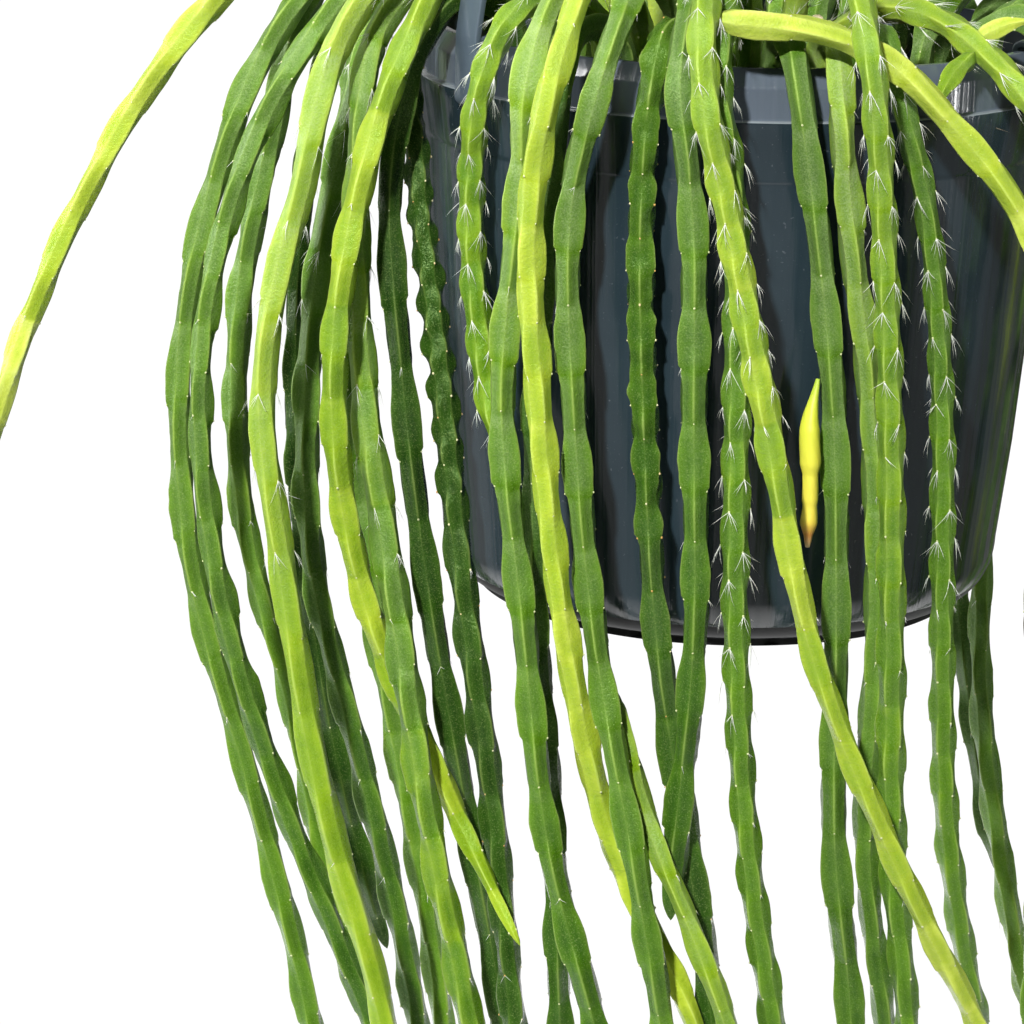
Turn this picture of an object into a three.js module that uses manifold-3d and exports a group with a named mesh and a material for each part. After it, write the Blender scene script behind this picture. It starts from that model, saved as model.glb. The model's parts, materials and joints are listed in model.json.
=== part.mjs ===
// A potted chain cactus: a hanging plastic pot with a clip-on hanger, soil, and the cactus's trailing stems.
// Millimetres, +Z up. The origin is the point inside the hook that the rail or nail bears on.
// The front of the pot faces -Y, and its left is -X.
import * as THREE from "three";
import { mergeVertices } from "three/addons/utils/BufferGeometryUtils.js";
import Module from "manifold-3d";

// Pot
const LEDGE_RADIUS = 75;
const POT_HEIGHT = 133;
const LEDGE_HEIGHT = 122;
const BAND_RADIUS = 73.2;
const BAND_TOP = 129;
const LIP_RADIUS = 70.8;
const WALL = 1.6;
const FOOT_RADIUS = 58.5;
const FOOT_BAND_HEIGHT = 2.4;
const FOOT_BAND_RECESS = 0.8;
const FOOT_BAND_STEP = 1;
const BOWL_CORNER_RADIUS = 66.5;
const BOWL_CORNER_HEIGHT = 14;
const BOWL_CORNER_STEPS = 4;
const MIDDLE_RADIUS = 70.9;
const MIDDLE_HEIGHT = 64;
const SHOULDER_RADIUS = 73.4;
const SHOULDER_HEIGHT = 110;
const LEDGE_THICKNESS = 3;
const FLOOR_THICKNESS = 2;
const FLOOR_CORNER = 3.5;
const POT_SIDES = 48;
const DRAIN_HOLES = 6;
const DRAIN_HOLE_RADIUS = 4;
const DRAIN_CIRCLE_RADIUS = 38;
const DRILL_LENGTH = 12;
const DRAIN_SIDES = 12;

// Soil
const SOIL_TOP = 119;
const GAP = 0.3;
const SOIL_FLOOR_RADIUS = 57;
const SOIL_TOP_RADIUS = 70.8;

// Hanger
const HANGER_HEIGHT = 330;
const HANGER_AZIMUTHS = [-51, 69, 189];
const ARM_WIDTH = 8;
const ARM_THICKNESS = 1.7;
const ARM_BOW = 7;
const ARM_FOOT_HEIGHT = 119.5;
const ARM_STEPS = 14;
const CLIP_DEPTH = 9;
const CLIP_THICKNESS = 1.6;
const HUB_RADIUS = 9;
const HUB_THICKNESS = 6;
const HOOK_RADIUS = 12;
const HOOK_WIRE_RADIUS = 2.4;
const HOOK_SIDES = 8;
const HOOK_STEPS = 24;
const HOOK_STEM_HEIGHT = 20;
const HUB_SIDES = 24;
const HUB_HOOK_REACH = 4.5;
const HOOK_FROM_DEGREES = -70;
const HOOK_TO_DEGREES = 200;
const HOOK_STEP_DEGREES = 30;
const HANGING_POINT = POT_HEIGHT + HANGER_HEIGHT;
const HUB_TOP = HANGING_POINT - 2 * HOOK_RADIUS - HOOK_STEM_HEIGHT;

// Stems
const STEM_RADIUS = 3;
const STEM_SIDES = 6;
const STEM_STEP_LENGTH = 17;
const STEM_UPRIGHT = 5;
const LEVELS = [136, 104, 60, 10, -40, -86];
// How far out to the rim a stem has come, as a share of its way, where it rises and at its crest, and how high
// it stands there as a share of its crest
const RISE_SHARE = 0.12;
const CREST_SHARE = 0.52;
const RISE_HEIGHT_SHARE = 0.65;

// Each stem: its name, its root in the soil as [azimuth in degrees, distance from the axis], the height of
// its crest, its [x, y] as it hangs past each level of LEVELS, and its tip. Azimuth 0 is the front and 90 the
// right. A short stem passes fewer levels. Heights are above the pot's foot.
const STEMS = [
  // Left of the pot, from the outermost in to the one that hugs the wall
  ["left_stem_1", [-70, 11], 186, [[-120, -30], [-142, -32], [-162, -34], [-177, -34]], [-184, -34, -22]],
  ["left_stem_2", [-85, 22], 172, [[-101, -34], [-115, -38], [-124, -40], [-122, -40], [-109, -40], [-97, -40]],
    [-86, -40, -138]],
  ["left_stem_3", [-84, 33], 162, [[-92, -41], [-109, -46], [-118, -51], [-114, -53], [-100, -53], [-82, -53]],
    [-66, -52, -128]],
  ["left_stem_4", [-105, 26], 168, [[-100, 5], [-109, 5], [-117, 5], [-116, 4], [-103, 2], [-93, 0]],
    [-86, -1, -118]],
  ["left_stem_5", [-52, 20], 176, [[-86, -50], [-94, -58], [-102, -64], [-96, -66], [-87, -66], [-74, -66]],
    [-62, -66, -150]],
  ["left_stem_6", [-112, 38], 160, [[-92, 25], [-102, 26], [-106, 26], [-105, 24], [-98, 20], [-87, 16]],
    [-80, 14, -108]],
  ["left_stem_7", [-70, 40], 157, [[-79, -28], [-89, -33], [-95, -36], [-94, -36], [-82, -36], [-71, -36]],
    [-62, -36, -142]],
  ["left_stem_8", [-68, 31], 167, [[-71, -51], [-81, -60], [-86, -66], [-79.5, -60.5], [-58.5, -60.5]],
    [-41, -76, -68]],
  ["left_stem_9", [-64, 46], 150, [[-79, -39], [-83, -48], [-81, -54], [-72, -63], [-63, -70], [-53, -71]],
    [-44, -71, -134]],
  ["left_stem_10", [-90, 44], 151, [[-84, -6], [-90, -7], [-90, -8], [-85, -9], [-76, -12], [-67, -16]],
    [-58, -20, -148]],
  ["left_stem_11", [-57, 57], 143, [[-68, -44], [-76, -45], [-73, -47], [-66, -50], [-57, -50], [-48, -51]],
    [-42, -53, -122]],
  ["left_stem_12", [-66, 57], 142, [[-72, -33], [-71, -37], [-64, -48], [-57, -55], [-49, -60], [-43, -65]],
    [-38, -68, -124]],
  // Over the front of the pot, from left to right
  ["front_stem_1", [-36, 47], 146, [[-52, -63], [-57, -59], [-52.4, -63.5]], [-47, -69.5, 42]],
  ["front_stem_2", [-32, 38], 153, [[-43, -78], [-45, -77], [-48, -75], [-42, -78], [-35, -82], [-22, -86]],
    [-12, -88, -128]],
  ["front_stem_3", [-24, 57], 141, [[-36, -70], [-39, -69], [-41, -67], [-40, -66], [-35, -66], [-32, -67]],
    [-30, -68, -116]],
  ["front_stem_4", [-22, 28], 167, [[-37, -89], [-42, -88], [-39, -89], [-31.9, -90], [-20.4, -81.5], [1.2, -84.6]],
    [8, -86, -112]],
  ["front_stem_5", [-16, 44], 154, [[-27, -85], [-34, -82], [-32, -83], [-25.8, -85.5], [-15, -93.5], [-6.5, -93]],
    [-4, -92, -120]],
  ["front_stem_6", [-11, 57], 141, [[-17, -78], [-19, -78], [-17, -78], [-12.5, -79], [-3.8, -78.3], [4, -78.5]],
    [10, -79, -132]],
  ["front_stem_7", [-6, 47], 149, [[-12, -87], [-8, -88], [-6, -88], [-4, -88], [-6.5, -84.3]], [-6.9, -86, -56]],
  ["front_stem_8", [-4, 27], 164, [[-7, -95], [0, -96], [10, -97], [22, -95], [43, -88], [65, -73]],
    [79, -62, -120]],
  ["front_stem_9", [4, 38], 154, [[-4, -87], [1, -88], [3, -88], [5, -88], [10, -88], [18, -86]],
    [24, -84, -150]],
  ["front_stem_10", [8, 57], 141, [[12, -80], [18, -79], [24, -77], [27, -76], [29, -75], [35, -72]],
    [36, -71, -140]],
  ["front_stem_11", [18, 57], 141, [[21, -77], [25, -76], [32, -73], [36, -72], [36, -72], [43, -67]],
    [47, -64, -118]],
  ["front_stem_12", [18, 36], 162, [[28, -92], [32, -89], [36, -85], [39, -81], [42, -76], [48, -74]],
    [51, -73, -134]],
  ["front_stem_13", [28, 57], 141, [[32, -73], [42, -68], [48, -64], [51, -62], [55, -58], [64, -48]],
    [69, -44, -104]],
  // Right of the pot, from the front to the back
  ["right_stem_1", [38, 30], 143, [[53, -57.5], [79, -71], [88, -77], [91, -77]], [91, -76, -36]],
  ["right_stem_2", [58, 57], 142, [[70, -42], [74, -41], [76, -41], [77, -40], [79, -40]], [80, -40, -92]],
  ["right_stem_3", [60, 26], 168, [[92, -42], [103, -44], [108, -45], [106, -44], [100, -42]], [92, -40, -104]],
  ["right_stem_4", [80, 42], 153, [[88, -16], [93, -16], [94, -15], [92, -14], [88, -13]], [84, -12, -72]],
  ["right_stem_5", [90, 57], 142, [[80, 1], [83, 1], [83, 1], [82, 1], [82, 2], [83, 3]], [84, 4, -128]],
  ["right_stem_6", [96, 25], 166, [[98, 14], [108, 17], [113, 18], [110, 18], [101, 18], [92, 17]], [86, 16, -116]],
  ["right_stem_7", [106, 57], 142, [[77, 21], [79, 22], [79, 22], [79, 22]], [80, 23, -30]],
  ["right_stem_8", [118, 32], 163, [[90, 50], [98, 55], [102, 57], [100, 57], [94, 56]], [90, 55, -84]],
  ["right_stem_9", [122, 57], 142, [[68, 41], [68, 42], [67, 42], [67, 41], [69, 40], [77, 40]], [88, 40, -132]],
  // Behind the pot, from the right to the left
  ["back_stem_1", [137, 57], 142, [[55, 58], [57, 60], [58, 61], [59, 60], [66, 60], [75, 60]], [78, 60, -98]],
  ["back_stem_2", [150, 36], 158, [[50, 82], [53, 88], [54, 90], [52, 90]], [50, 89, -18]],
  ["back_stem_3", [156, 57], 142, [[33, 74], [34, 75], [34, 75], [33, 75]], [32, 75, -24]],
  ["back_stem_4", [168, 43], 153, [[18, 88], [20, 92], [20, 93], [19, 92]], [18, 91, -28]],
  ["back_stem_5", [178, 57], 142, [[3, 81], [3, 82], [3, 82], [3, 81]], [3, 81, -20]],
  ["back_stem_6", [180, 24], 168, [[2, 99], [2, 108], [2, 112], [2, 110]], [1, 107, -34]],
  ["back_stem_7", [204, 55], 143, [[-33, 75], [-34, 76], [-34, 76], [-33, 76]], [-32, 76, -12]],
  ["back_stem_8", [208, 38], 155, [[-44, 80], [-48, 84], [-49, 85]], [-47, 84, -6]],
  ["back_stem_9", [226, 57], 142, [[-59, 56], [-60, 57], [-60, 57]], [-58, 57, 4]],
];

// Side shoots: name, radius, and the points along each, from where it leaves its parent stem. Heights are
// above the pot's foot.
const SHOOTS = [
  // A young lime stem from the side of front_stem_9, lying across the rim and down the right front
  ["crossing_shoot", 3, [[0.3, -84.5, 144.5], [7, -84, 145.3], [19, -82.5, 142], [29, -80, 138.5], [38, -80, 131.5],
    [46.5, -80, 123], [54, -80, 115], [62, -80, 103.6], [72, -79.5, 84], [79, -78, 50], [81, -77, 16]]],
  // A thin young shoot and a bud from the hairy right_stem_1
  ["young_shoot", 1.6, [[49.9, -59.2, 134.9], [46, -64.5, 131.8], [43.4, -70, 128.2], [41.2, -74.2, 124.6]]],
  ["young_bud", 1.8, [[53.1, -54.4, 139.6], [58, -53.6, 141.8], [63.5, -53, 142.8]]],
  // A bright side stem from low on the back of front_stem_5
  ["side_stem", 2.8, [[-20.6, -82.6, -8], [-17, -84.4, -22], [-12.6, -88, -31], [-9.2, -90.5, -40], [0.7, -92, -62],
    [9.6, -91.5, -87], [18.5, -90.5, -122]]],
  // A small withered shoot from the side of front_stem_10
  ["withered_shoot", 1.4, [[20.2, -80.5, 68], [18.9, -82.2, 58], [19.7, -82.6, 46], [19.6, -82.7, 31]]],
];
// A shoot has at least this many steps. The stub is a short dry one in the soil, with its height above the soil.
const SHOOT_STEPS = 4;
const STUB = { name: "dry_stub", radius: 1.4, azimuth: 24, distance: 43, height: 22, lean: 7, turn: -4 };

const solids = await Module();
solids.setup();

function material(color, roughness, metalness = 0) {
  return new THREE.MeshStandardMaterial({ color, roughness, metalness });
}

function piece(name, geometry, look) {
  const mesh = new THREE.Mesh(geometry, look);
  mesh.name = name;
  return mesh;
}

const slatePlastic = () => material("#36465a", 0.22);
const hangerPlastic = () => material("#566470", 0.3);
const pottingMix = () => material("#2a1d14", 0.95);
const greenSkin = () => material("#4f8a2a", 0.45);
const limeSkin = () => material("#a5cf2e", 0.4);
const driedSkin = () => material("#c9c23a", 0.6);
const deadBark = () => material("#7a5634", 0.9);

// A solid from a closed geometry, and a geometry back from a solid
function toSolid(geometry) {
  const bare = geometry.clone();
  bare.deleteAttribute("normal");
  bare.deleteAttribute("uv");
  const merged = mergeVertices(bare, 1e-4);
  return new solids.Manifold(new solids.Mesh({
    numProp: 3,
    vertProperties: new Float32Array(merged.attributes.position.array),
    triVerts: new Uint32Array(merged.index.array),
  }));
}

function toGeometry(solid) {
  const mesh = solid.getMesh();
  const geometry = new THREE.BufferGeometry();
  geometry.setAttribute("position", new THREE.BufferAttribute(new Float32Array(mesh.vertProperties), 3));
  geometry.setIndex(new THREE.BufferAttribute(new Uint32Array(mesh.triVerts), 1));
  geometry.computeVertexNormals();
  return geometry;
}

// A profile of [radius, height] points turned round the upright axis
function turned(profile, sides) {
  const points = profile.map(([r, z]) => new THREE.Vector2(r, z));
  const geometry = new THREE.LatheGeometry(points, sides);
  geometry.rotateX(Math.PI / 2);
  return geometry;
}

// The pot's outer wall: foot band, bowl-like corner, rising wall, shoulder, rim band and bevelled lip
function outerProfile() {
  const corner = [];
  const bandRadius = FOOT_RADIUS + FOOT_BAND_STEP;
  for (let i = 1; i <= BOWL_CORNER_STEPS; i += 1) {
    const angle = (i / BOWL_CORNER_STEPS) * (Math.PI / 2);
    corner.push([
      bandRadius + (BOWL_CORNER_RADIUS - bandRadius) * Math.sin(angle),
      FOOT_BAND_HEIGHT + (BOWL_CORNER_HEIGHT - FOOT_BAND_HEIGHT) * (1 - Math.cos(angle)),
    ]);
  }
  return [
    [0, 0],
    [FOOT_RADIUS, 0],
    [FOOT_RADIUS, FOOT_BAND_HEIGHT - FOOT_BAND_RECESS],
    [bandRadius, FOOT_BAND_HEIGHT],
    ...corner,
    [MIDDLE_RADIUS, MIDDLE_HEIGHT],
    [SHOULDER_RADIUS, SHOULDER_HEIGHT],
    [LEDGE_RADIUS, LEDGE_HEIGHT - LEDGE_THICKNESS],
    [LEDGE_RADIUS, LEDGE_HEIGHT],
    [BAND_RADIUS, LEDGE_HEIGHT],
    [BAND_RADIUS, BAND_TOP],
    [LIP_RADIUS, POT_HEIGHT],
  ];
}

// The pot's inner wall, from the lip down to the floor
function innerProfile() {
  return [
    [LIP_RADIUS - WALL, POT_HEIGHT],
    [BAND_RADIUS - WALL, BAND_TOP],
    [SHOULDER_RADIUS - WALL, SHOULDER_HEIGHT],
    [BOWL_CORNER_RADIUS - WALL, BOWL_CORNER_HEIGHT],
    [BOWL_CORNER_RADIUS - FLOOR_CORNER, BOWL_CORNER_HEIGHT / 2],
    [SOIL_FLOOR_RADIUS, FLOOR_THICKNESS],
    [0, FLOOR_THICKNESS],
  ];
}

function pot() {
  let shell = toSolid(turned([...outerProfile(), ...innerProfile()], POT_SIDES));
  for (let i = 0; i < DRAIN_HOLES; i += 1) {
    const angle = (i / DRAIN_HOLES) * Math.PI * 2;
    const drill = new THREE.CylinderGeometry(DRAIN_HOLE_RADIUS, DRAIN_HOLE_RADIUS, DRILL_LENGTH, DRAIN_SIDES);
    drill.rotateX(Math.PI / 2);
    drill.translate(DRAIN_CIRCLE_RADIUS * Math.cos(angle), DRAIN_CIRCLE_RADIUS * Math.sin(angle), 0);
    shell = shell.subtract(toSolid(drill));
  }
  return piece("pot", toGeometry(shell), slatePlastic());
}

// The soil follows the pot's inner wall from the floor to the shoulder, a little inside it
function soil() {
  const wall = innerProfile().filter(([, z]) => z <= SHOULDER_HEIGHT).reverse();
  const side = wall.map(([r, z]) => [Math.max(r - 2 * GAP, 0), z + GAP]);
  return piece("soil", turned([...side, [SOIL_TOP_RADIUS, SOIL_TOP], [0, SOIL_TOP]], POT_SIDES), pottingMix());
}

// A point at an azimuth and a distance from the pot's axis. Azimuth 0 is the front, and 90 the right.
function around(azimuth, distance, height) {
  const angle = THREE.MathUtils.degToRad(azimuth);
  return new THREE.Vector3(distance * Math.sin(angle), -distance * Math.cos(angle), height);
}

// One hanger arm, drawn from the side and turned to its place. A flat strip stands outside the rim, leans in
// and bows a little. Its foot grips the rim with a clip that passes over the lip, and its top hooks over the hub.
function hangerArm(index) {
  const half = ARM_THICKNESS / 2;
  const rimReach = LEDGE_RADIUS + GAP + half;
  const hubReach = HUB_RADIUS + GAP + half;
  const base = POT_HEIGHT + GAP;
  const strip = [];
  const bottom = base + CLIP_THICKNESS;
  const top = HUB_TOP + GAP;
  for (let i = 0; i <= ARM_STEPS; i += 1) {
    const share = i / ARM_STEPS;
    const reach = rimReach + (hubReach - rimReach) * share + ARM_BOW * Math.sin(Math.PI * share);
    strip.push([reach, bottom + (top - bottom) * share]);
  }
  const hubHook = [
    [hubReach + half, top + CLIP_THICKNESS],
    [HUB_HOOK_REACH, top + CLIP_THICKNESS],
    [HUB_HOOK_REACH, top],
  ];
  const lipInside = LIP_RADIUS - WALL - 2 * GAP;
  const clip = [
    [lipInside - CLIP_THICKNESS, bottom],
    [lipInside - CLIP_THICKNESS, base - CLIP_DEPTH],
    [lipInside, base - CLIP_DEPTH],
    [lipInside, base],
    [rimReach - half, base],
  ];
  const outline = [
    [rimReach - half, ARM_FOOT_HEIGHT],
    [rimReach + half, ARM_FOOT_HEIGHT],
    ...strip.map(([reach, height]) => [reach + half, height]),
    ...hubHook,
    ...strip.toReversed().map(([reach, height]) => [reach - half, height]),
    ...clip,
  ];
  const shape = new THREE.Shape(outline.map(([reach, height]) => new THREE.Vector2(reach, height)));
  const geometry = new THREE.ExtrudeGeometry(shape, { depth: ARM_WIDTH, bevelEnabled: false });
  geometry.translate(0, 0, -ARM_WIDTH / 2);
  geometry.rotateX(Math.PI / 2);
  geometry.rotateZ(THREE.MathUtils.degToRad(HANGER_AZIMUTHS[index] - 90));
  return piece(`hanger_arm_${index + 1}`, geometry, hangerPlastic());
}

// The hook: a round hub with a stem, bent over into an open hook whose inside top is the hanging point
function hangerHook() {
  const centre = HANGING_POINT - HOOK_RADIUS;
  const wireRadius = HOOK_RADIUS + HOOK_WIRE_RADIUS;
  const points = [new THREE.Vector3(0, 0, HUB_TOP - 1), new THREE.Vector3(0, 0, HUB_TOP + HOOK_STEM_HEIGHT / 2)];
  for (let degrees = HOOK_FROM_DEGREES; degrees <= HOOK_TO_DEGREES; degrees += HOOK_STEP_DEGREES) {
    const angle = THREE.MathUtils.degToRad(degrees);
    points.push(new THREE.Vector3(wireRadius * Math.cos(angle), 0, centre + wireRadius * Math.sin(angle)));
  }
  const wire = tube(new THREE.CatmullRomCurve3(points), HOOK_STEPS, HOOK_WIRE_RADIUS, HOOK_SIDES);
  const hubBottom = HUB_TOP - HUB_THICKNESS;
  const hub = turned([[0, hubBottom], [HUB_RADIUS, hubBottom], [HUB_RADIUS, HUB_TOP], [0, HUB_TOP]], HUB_SIDES);
  return piece("hanger_hook", toGeometry(toSolid(wire).add(toSolid(hub))), hangerPlastic());
}

// A round bar along a path
function tube(path, steps, radius, sides) {
  const section = new THREE.Shape();
  for (let i = 0; i < sides; i += 1) {
    const angle = (i / sides) * Math.PI * 2;
    const point = [radius * Math.cos(angle), radius * Math.sin(angle)];
    if (i === 0) {
      section.moveTo(...point);
    } else {
      section.lineTo(...point);
    }
  }
  section.closePath();
  return new THREE.ExtrudeGeometry(section, { steps, extrudePath: path, bevelEnabled: false });
}

// A stem's route: up from its root, over its crest, then down past the levels to its tip
function stemPath([, [azimuth, distance], crest, fall, tip]) {
  const root = around(azimuth, distance, SOIL_TOP + GAP);
  const [rimX, rimY] = fall[0];
  const reach = Math.hypot(rimX, rimY);
  const towards = THREE.MathUtils.radToDeg(Math.atan2(rimX, -rimY));
  const swing = ((towards - azimuth + 540) % 360) - 180;
  const at = (share, height) => around(azimuth + swing * share, distance + (reach - distance) * share, height);
  const upright = root.clone().setZ(SOIL_TOP + STEM_UPRIGHT);
  const rise = SOIL_TOP + (crest - SOIL_TOP) * RISE_HEIGHT_SHARE;
  const points = [root, upright, at(RISE_SHARE, rise), at(CREST_SHARE, crest)];
  fall.forEach(([x, y], i) => points.push(new THREE.Vector3(x, y, LEVELS[i])));
  points.push(new THREE.Vector3(...tip));
  return new THREE.CatmullRomCurve3(points);
}

function stem(row) {
  const path = stemPath(row);
  const steps = Math.round(path.getLength() / STEM_STEP_LENGTH);
  return piece(row[0], tube(path, steps, STEM_RADIUS, STEM_SIDES), greenSkin());
}

function shoot([name, radius, points]) {
  const path = new THREE.CatmullRomCurve3(points.map((p) => new THREE.Vector3(...p)));
  const steps = Math.max(SHOOT_STEPS, Math.round(path.getLength() / STEM_STEP_LENGTH));
  const look = name === "withered_shoot" ? driedSkin() : limeSkin();
  return piece(name, tube(path, steps, radius, STEM_SIDES), look);
}

function dryStub() {
  const foot = around(STUB.azimuth, STUB.distance, SOIL_TOP + GAP);
  const upright = foot.clone().setZ(SOIL_TOP + STEM_UPRIGHT);
  const tip = around(STUB.azimuth + STUB.turn, STUB.distance + STUB.lean, SOIL_TOP + STUB.height);
  const path = new THREE.CatmullRomCurve3([foot, upright, tip]);
  return piece(STUB.name, tube(path, SHOOT_STEPS, STUB.radius, STEM_SIDES), deadBark());
}

const plant = new THREE.Group();
plant.position.z = -HANGING_POINT;
plant.add(pot(), soil(), hangerHook());
HANGER_AZIMUTHS.forEach((_, i) => plant.add(hangerArm(i)));
STEMS.forEach((row) => plant.add(stem(row)));
SHOOTS.forEach((row) => plant.add(shoot(row)));
plant.add(dryStub());

export default plant;
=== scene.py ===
import json

import bpy
import numpy as np
from mathutils import Matrix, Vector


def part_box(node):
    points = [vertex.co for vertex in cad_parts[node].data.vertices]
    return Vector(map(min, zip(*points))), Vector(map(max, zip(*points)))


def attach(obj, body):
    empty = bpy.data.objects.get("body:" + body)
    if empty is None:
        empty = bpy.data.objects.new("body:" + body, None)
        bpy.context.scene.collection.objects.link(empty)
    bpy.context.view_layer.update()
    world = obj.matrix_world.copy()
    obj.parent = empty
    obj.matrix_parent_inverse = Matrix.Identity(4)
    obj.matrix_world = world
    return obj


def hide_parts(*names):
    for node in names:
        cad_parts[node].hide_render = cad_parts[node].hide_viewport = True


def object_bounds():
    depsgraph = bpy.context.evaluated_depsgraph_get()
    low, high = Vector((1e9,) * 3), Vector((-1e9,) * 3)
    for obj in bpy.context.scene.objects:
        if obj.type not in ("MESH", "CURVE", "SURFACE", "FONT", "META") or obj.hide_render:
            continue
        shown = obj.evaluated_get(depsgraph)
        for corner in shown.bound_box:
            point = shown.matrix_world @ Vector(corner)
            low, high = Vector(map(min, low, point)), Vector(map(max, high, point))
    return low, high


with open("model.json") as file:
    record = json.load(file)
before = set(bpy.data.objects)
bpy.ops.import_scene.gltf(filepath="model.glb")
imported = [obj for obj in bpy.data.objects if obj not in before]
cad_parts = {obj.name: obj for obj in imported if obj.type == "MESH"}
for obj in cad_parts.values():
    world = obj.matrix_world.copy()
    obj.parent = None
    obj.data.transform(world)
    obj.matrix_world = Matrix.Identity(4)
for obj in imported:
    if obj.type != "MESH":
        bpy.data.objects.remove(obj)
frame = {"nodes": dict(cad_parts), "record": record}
cad_bounds = [list(corner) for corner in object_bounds()]

# Camera
# The photo was taken with a long lens, a little above the rim, looking slightly down and to the left. It
# is tilted by about a degree, and shows the front left of the plant.
MM = 0.001
FOCAL_PIXELS = 3500
PICTURE_PIXELS = 1024
SENSOR_WIDTH = 36
CAMERA_DISTANCE = 816
CAMERA_HEIGHT = 240

pot_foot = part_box("pot")[0].z
camera_place = np.array([0, -CAMERA_DISTANCE * MM, CAMERA_HEIGHT * MM + pot_foot])
yaw, pitch, tilt = np.radians([-3.50, 15.51, 1.41])
forward = np.array([np.sin(yaw) * np.cos(pitch), np.cos(yaw) * np.cos(pitch), -np.sin(pitch)])
level = np.array([np.cos(yaw), -np.sin(yaw), 0])
down = np.cross(forward, level)
camera_right = level * np.cos(tilt) - down * np.sin(tilt)
camera_up = -(level * np.sin(tilt) + down * np.cos(tilt))


def stand(thing, x_axis, y_axis, z_axis, place):
    """Puts an object at a place, with its axes along three directions."""
    placed = np.eye(4)
    placed[:3] = np.column_stack([x_axis, y_axis, z_axis, place])
    thing.matrix_world = Matrix(placed.tolist())


camera = bpy.data.objects.new("camera", bpy.data.cameras.new("camera"))
bpy.context.scene.collection.objects.link(camera)
bpy.context.scene.camera = camera
camera.data.sensor_width = SENSOR_WIDTH
camera.data.lens = FOCAL_PIXELS * SENSOR_WIDTH / PICTURE_PIXELS
camera.data.clip_start = 0.05
stand(camera, camera_right, camera_up, -forward, camera_place)

# Studio: floor, light and background
# The plant hangs in a bright studio, whose white paper burns out. A small key light at the upper left
# casts crisp shadows on the pot, and a tall strip light at the right gives its gloss streaks.
PLANT_MIDDLE = 0.06
PAPER_GLOW = 1.05
FLOOR_DROP = 0.04
FLOOR_HALF = 5.0
plant_middle = np.array([0, 0, pot_foot + PLANT_MIDDLE])


def unit(vectors):
    """Vectors scaled to length one."""
    return vectors / np.linalg.norm(vectors, axis=-1, keepdims=True)


def studio_light(name, offset, size, watts):
    """A flat light that faces the plant from an offset, with its width and height in metres."""
    light = bpy.data.lights.new(name, "AREA")
    light.shape = "RECTANGLE"
    light.size, light.size_y = size
    light.energy = watts
    lamp = bpy.data.objects.new(name, light)
    bpy.context.scene.collection.objects.link(lamp)
    back = unit(np.array(offset))
    side = unit(np.cross([0, 0, 1], back))
    stand(lamp, side, np.cross(back, side), back, plant_middle + offset)


studio_light("key_light", [-0.453, -1.961, 1.31], (0.11, 0.11), 80)
studio_light("left_panel", [-1.45, 0.35, 0.2], (0.5, 1.2), 20)
studio_light("upper_left_panel", [-1.3, -0.7, 1.1], (0.5, 0.5), 13)
studio_light("right_strip", [1.5, -0.2, 0.2], (0.02, 1.3), 6)


def join(socket, value):
    """Links an input to another node's output, or sets it to a number or a colour."""
    if isinstance(value, bpy.types.NodeSocket):
        socket.id_data.links.new(value, socket)
    elif socket.type == "RGBA":
        socket.default_value = (*value, 1)
    else:
        socket.default_value = value


def given(made, **inputs):
    """A node with some of its inputs joined or set. An input's spaces are written as underlines."""
    for key, value in inputs.items():
        join(made.inputs[key.replace("_", " ")], value)
    return made


def node(tree, kind, **values):
    """A new node. Each value is for the node's own property of that name, or else for an input."""
    made = tree.nodes.new("ShaderNode" + kind)
    inputs = {key: value for key, value in values.items() if not hasattr(made, key)}
    for key in values.keys() - inputs.keys():
        setattr(made, key, values[key])
    return given(made, **inputs)


def calculated(tree, operation, first, second):
    """The result of a sum or a product of two values."""
    made = node(tree, "Math", operation=operation)
    join(made.inputs[0], first)
    join(made.inputs[1], second)
    return made.outputs[0]


def rescaled(tree, value, span, result):
    """A value moved from one span of numbers to another, and held within it."""
    return node(tree, "MapRange", Value=value, From_Min=span[0], From_Max=span[1],
                To_Min=result[0], To_Max=result[1]).outputs[0]


def seen_or_lit(tree, seen, lit):
    """A mix of two shaders: the camera sees the first, and the second lights the plant."""
    mixed = node(tree, "MixShader")
    join(mixed.inputs[0], node(tree, "LightPath").outputs["Is Camera Ray"])
    join(mixed.inputs[1], lit.outputs[0])
    join(mixed.inputs[2], seen.outputs[0])
    return mixed.outputs[0]


world = bpy.data.worlds.new("studio")
bpy.context.scene.world = world
world.use_nodes = True
tree = world.node_tree
toward = node(tree, "SeparateXYZ", Vector=node(tree, "TexCoord").outputs["Generated"]).outputs
brighter_behind = rescaled(tree, toward["Y"], (0.1, 0.9), (0.10, 0.44))
darker_right = rescaled(tree, toward["X"], (-0.3, 0.7), (1, 0.35))
fill_strength = calculated(tree, "MULTIPLY", brighter_behind, darker_right)
room_fill = given(tree.nodes["Background"], Color=(1, 1, 0.97), Strength=fill_strength)
white_paper = node(tree, "Background", Strength=PAPER_GLOW)
given(tree.nodes["World Output"], Surface=seen_or_lit(tree, white_paper, room_fill))
bpy.context.scene.view_settings.view_transform = "Standard"

floor_height = cad_bounds[0][2] - FLOOR_DROP
floor_outline = np.array([(-1, -1), (1, -1), (1, 1), (-1, 1)]) * FLOOR_HALF
floor_mesh = bpy.data.meshes.new("floor")
floor_mesh.from_pydata([(x, y, floor_height) for x, y in floor_outline], [], [(0, 1, 2, 3)])
floor = bpy.data.objects.new("floor", floor_mesh)
bpy.context.scene.collection.objects.link(floor)


def finish(name, **inputs):
    """A Principled material with some of its inputs set, its node tree and its main shader."""
    material = bpy.data.materials.new(name)
    material.use_nodes = True
    return material, material.node_tree, given(material.node_tree.nodes["Principled BSDF"], **inputs)


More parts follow.
